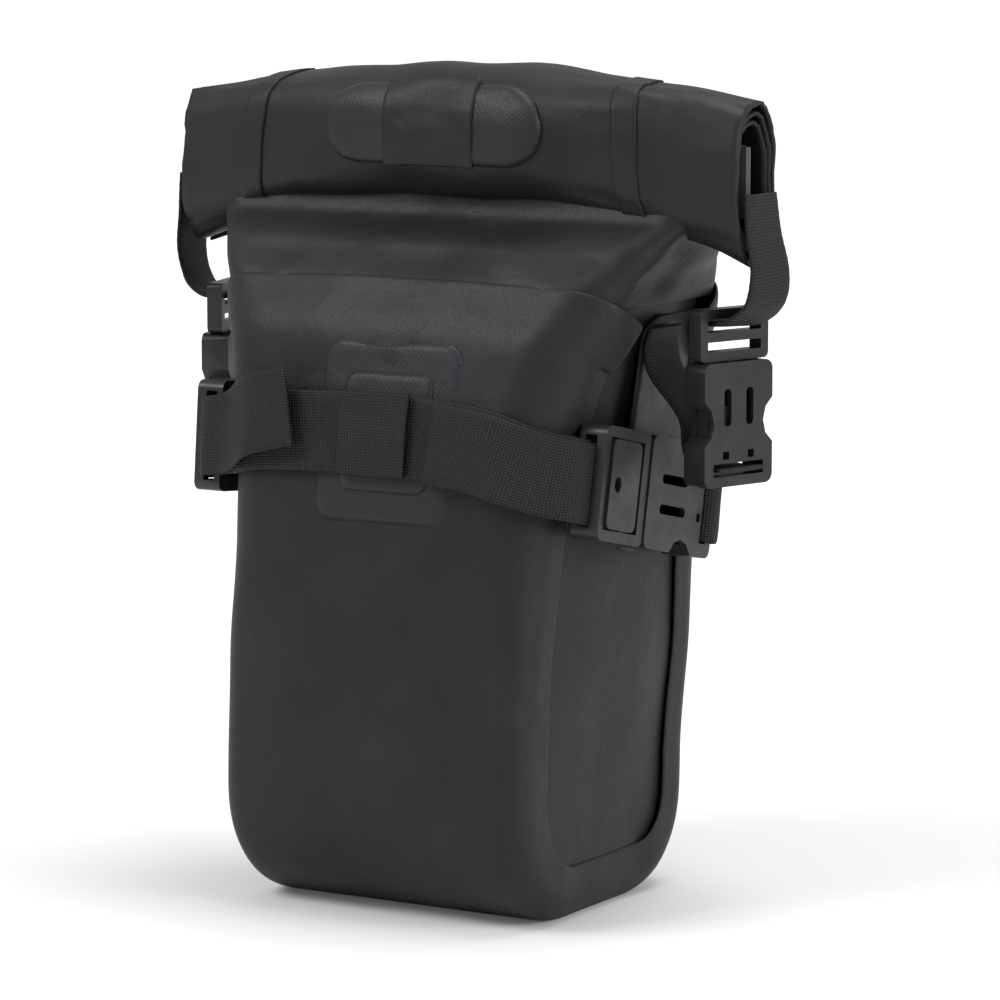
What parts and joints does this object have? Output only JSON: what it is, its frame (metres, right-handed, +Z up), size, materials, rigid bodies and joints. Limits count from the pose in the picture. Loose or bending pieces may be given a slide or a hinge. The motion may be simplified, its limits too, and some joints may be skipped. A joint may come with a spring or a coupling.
{
  "type": "roll-top tail bag",
  "caption": "Small welded roll-top dry bag with a lashing strap, cam-lock side-release buckles and side closure buckles.",
  "frame": {"origin": "on the floor, under the middle of the object's box", "axes": "+Z up; the front of the bag, with the sewn patch and the roll's patch, faces -Y; +X is the side to the right seen from the front"},
  "size_m": [0.2168, 0.1265, 0.2628],
  "materials": {
    "laminated_fabric": "matt laminated woven fabric, near black",
    "patch_fabric": "welded reinforcement fabric, dark grey",
    "webbing": "ribbed black polyester webbing",
    "acetal": "moulded dark grey acetal, satin",
    "polyethylene_sheet": "flexible grey sheet, hidden",
    "steel_pin": "plain steel"
  },
  "bodies": {
    "bag": {"main_panel": "laminated_fabric", "left_side_panel": "laminated_fabric", "right_side_panel": "laminated_fabric", "back_board": "polyethylene_sheet", "front_patch": "patch_fabric", "front_plate": "patch_fabric", "back_patch": "patch_fabric", "left_side_patch": "patch_fabric", "right_side_patch": "patch_fabric", "mouth_collar": "laminated_fabric", "front_strap_left": "webbing", "front_strap_right": "webbing", "strap_cover": "webbing", "right_strap_tail": "webbing", "left_strap_tail": "webbing", "rear_strap_left": "webbing", "rear_strap_right": "webbing", "left_buckle_female": "acetal", "right_buckle_female": "acetal", "left_closure_female": "acetal", "right_closure_female": "acetal", "left_closure_tab": "webbing", "right_closure_tab": "webbing"},
    "roll": {"rolled_mouth": "laminated_fabric", "front_stiffener": "polyethylene_sheet", "rear_stiffener": "polyethylene_sheet", "roll_patch": "patch_fabric", "roll_band": "laminated_fabric", "left_closure_loop": "webbing", "right_closure_loop": "webbing", "left_closure_male": "acetal", "right_closure_male": "acetal"},
    "left_male": {"left_buckle_male": "acetal", "left_lever_pin": "steel_pin"},
    "left_lever": {"left_cam_lever": "acetal"},
    "left_upper_prong": {"left_upper_prong": "acetal"},
    "left_lower_prong": {"left_lower_prong": "acetal"},
    "left_closure_prong_a": {"left_closure_prong_a": "acetal"},
    "left_closure_prong_b": {"left_closure_prong_b": "acetal"},
    "right_male": {"right_buckle_male": "acetal", "right_lever_pin": "steel_pin"},
    "right_lever": {"right_cam_lever": "acetal"},
    "right_upper_prong": {"right_upper_prong": "acetal"},
    "right_lower_prong": {"right_lower_prong": "acetal"},
    "right_closure_prong_a": {"right_closure_prong_a": "acetal"},
    "right_closure_prong_b": {"right_closure_prong_b": "acetal"}
  },
  "joints": [
    {"name": "roll_lift", "type": "slide", "parent": "bag", "child": "roll", "axis": [0, 0, 1], "range_m": [0, 0.03], "deforming": ["mouth_collar"]},
    {"name": "left_lash_release", "type": "slide", "parent": "bag", "child": "left_male", "axis": [0, -0.9962, 0.0872], "range_m": [0, 0.031], "deforming": ["front_strap_left", "left_strap_tail"]},
    {"name": "left_cam_lever_open", "type": "hinge", "parent": "left_male", "child": "left_lever", "pos_m": [-0.06961, -0.02501, 0.14384], "axis": [0, -0.0872, -0.9962], "range_deg": [0, 70]},
    {"name": "left_upper_squeeze", "type": "hinge", "parent": "left_male", "child": "left_upper_prong", "pos_m": [-0.06841, -0.01469, 0.15509], "axis": [-1, 0, 0], "range_deg": [0, 4], "stiffness_Nm_per_rad": 0.05},
    {"name": "left_lower_squeeze", "type": "hinge", "parent": "left_male", "child": "left_lower_prong", "pos_m": [-0.06841, -0.0168, 0.13098], "axis": [1, 0, 0], "range_deg": [0, 4], "stiffness_Nm_per_rad": 0.05},
    {"name": "left_closure_squeeze_a", "type": "hinge", "parent": "roll", "child": "left_closure_prong_a", "pos_m": [-0.08944, -0.00662, 0.1737], "axis": [0.9563, 0.2924, 0], "range_deg": [0, 4], "stiffness_Nm_per_rad": 0.05},
    {"name": "left_closure_squeeze_b", "type": "hinge", "parent": "roll", "child": "left_closure_prong_b", "pos_m": [-0.09517, 0.01212, 0.1737], "axis": [-0.9563, -0.2924, 0], "range_deg": [0, 4], "stiffness_Nm_per_rad": 0.05},
    {"name": "right_lash_release", "type": "slide", "parent": "bag", "child": "right_male", "axis": [0, -0.9781, 0.2079], "range_m": [0, 0.031], "deforming": ["front_strap_right", "right_strap_tail"]},
    {"name": "right_cam_lever_open", "type": "hinge", "parent": "right_male", "child": "right_lever", "pos_m": [0.06808, -0.01935, 0.13555], "axis": [0, 0.2079, 0.9781], "range_deg": [0, 70]},
    {"name": "right_upper_squeeze", "type": "hinge", "parent": "right_male", "child": "right_upper_prong", "pos_m": [0.06688, -0.00774, 0.14545], "axis": [-1, 0, 0], "range_deg": [0, 4], "stiffness_Nm_per_rad": 0.05},
    {"name": "right_lower_squeeze", "type": "hinge", "parent": "right_male", "child": "right_lower_prong", "pos_m": [0.06688, -0.01277, 0.12178], "axis": [1, 0, 0], "range_deg": [0, 4], "stiffness_Nm_per_rad": 0.05},
    {"name": "right_closure_squeeze_a", "type": "hinge", "parent": "roll", "child": "right_closure_prong_a", "pos_m": [0.09517, 0.01212, 0.1737], "axis": [-0.9563, 0.2924, 0], "range_deg": [0, 4], "stiffness_Nm_per_rad": 0.05},
    {"name": "right_closure_squeeze_b", "type": "hinge", "parent": "roll", "child": "right_closure_prong_b", "pos_m": [0.08944, -0.00662, 0.1737], "axis": [0.9563, -0.2924, 0], "range_deg": [0, 4], "stiffness_Nm_per_rad": 0.05}
  ],
  "couplings": [
    {"joint": "left_lower_squeeze", "follows": "left_upper_squeeze", "ratio": 1},
    {"joint": "left_closure_squeeze_b", "follows": "left_closure_squeeze_a", "ratio": 1},
    {"joint": "right_lower_squeeze", "follows": "right_upper_squeeze", "ratio": 1},
    {"joint": "right_closure_squeeze_b", "follows": "right_closure_squeeze_a", "ratio": 1}
  ]
}
